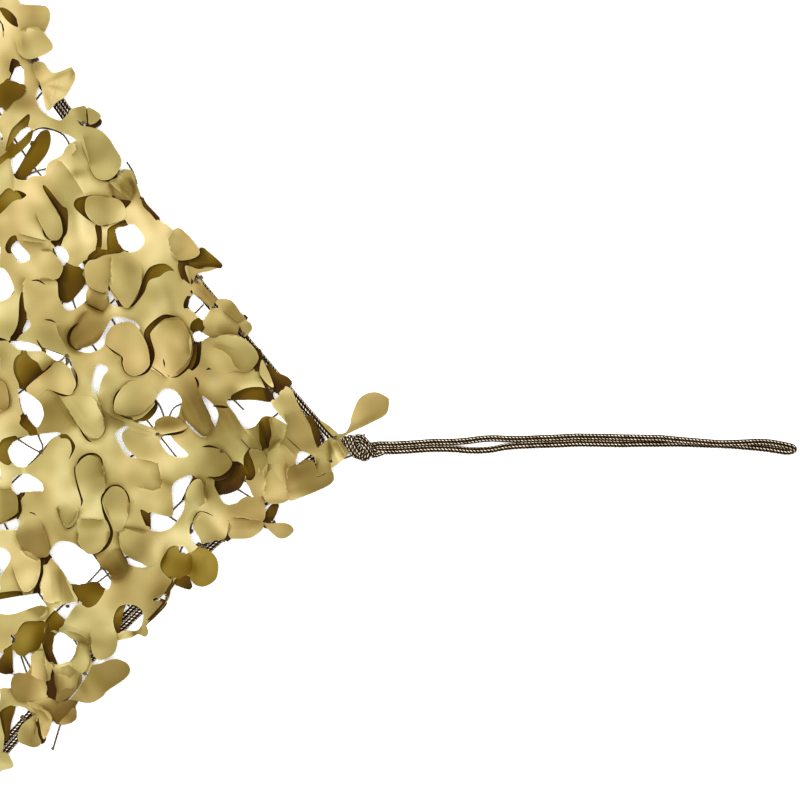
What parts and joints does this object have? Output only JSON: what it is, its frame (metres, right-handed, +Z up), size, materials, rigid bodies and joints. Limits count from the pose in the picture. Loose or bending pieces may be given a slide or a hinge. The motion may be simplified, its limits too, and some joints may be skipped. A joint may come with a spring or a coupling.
{
  "type": "camouflage netting",
  "caption": "Panel of sand coloured leaf cut cloth over a knotted twine mesh, edged with doubled braided rope that ends in an overhand knot and a long tie loop",
  "frame": {"origin": "centre of the cloth panel and its corner knot, on the ground plane under them", "axes": "+Z up out of the face of the panel, which lies flat on the ground; +X towards the tied corner and its loop, +Y across the panel"},
  "size_m": [0.9103, 0.6578, 0.0255],
  "materials": {
    "cloth": "coated woven, dull sheen",
    "rope": "braided",
    "twine": "matte"
  },
  "bodies": {
    "root": {"incised_cloth": "cloth", "twine_mesh": "twine", "border_rope_outer": "rope", "border_rope_inner": "rope", "corner_knot": "rope", "corner_loop": "rope", "border_tie_upper_1": "twine", "border_tie_upper_2": "twine", "border_tie_upper_3": "twine", "border_tie_upper_4": "twine", "border_tie_upper_5": "twine", "border_tie_upper_6": "twine", "border_tie_far_upper_1": "twine", "border_tie_far_upper_2": "twine", "border_tie_far_upper_3": "twine", "border_tie_far_upper_4": "twine", "border_tie_far_upper_5": "twine", "border_tie_far_upper_6": "twine", "border_tie_far_lower_1": "twine", "border_tie_far_lower_2": "twine", "border_tie_far_lower_3": "twine", "border_tie_far_lower_4": "twine", "border_tie_far_lower_5": "twine", "border_tie_far_lower_6": "twine", "border_tie_lower_1": "twine", "border_tie_lower_2": "twine", "border_tie_lower_3": "twine", "border_tie_lower_4": "twine", "border_tie_lower_5": "twine", "border_tie_lower_6": "twine"}
  },
  "joints": []
}
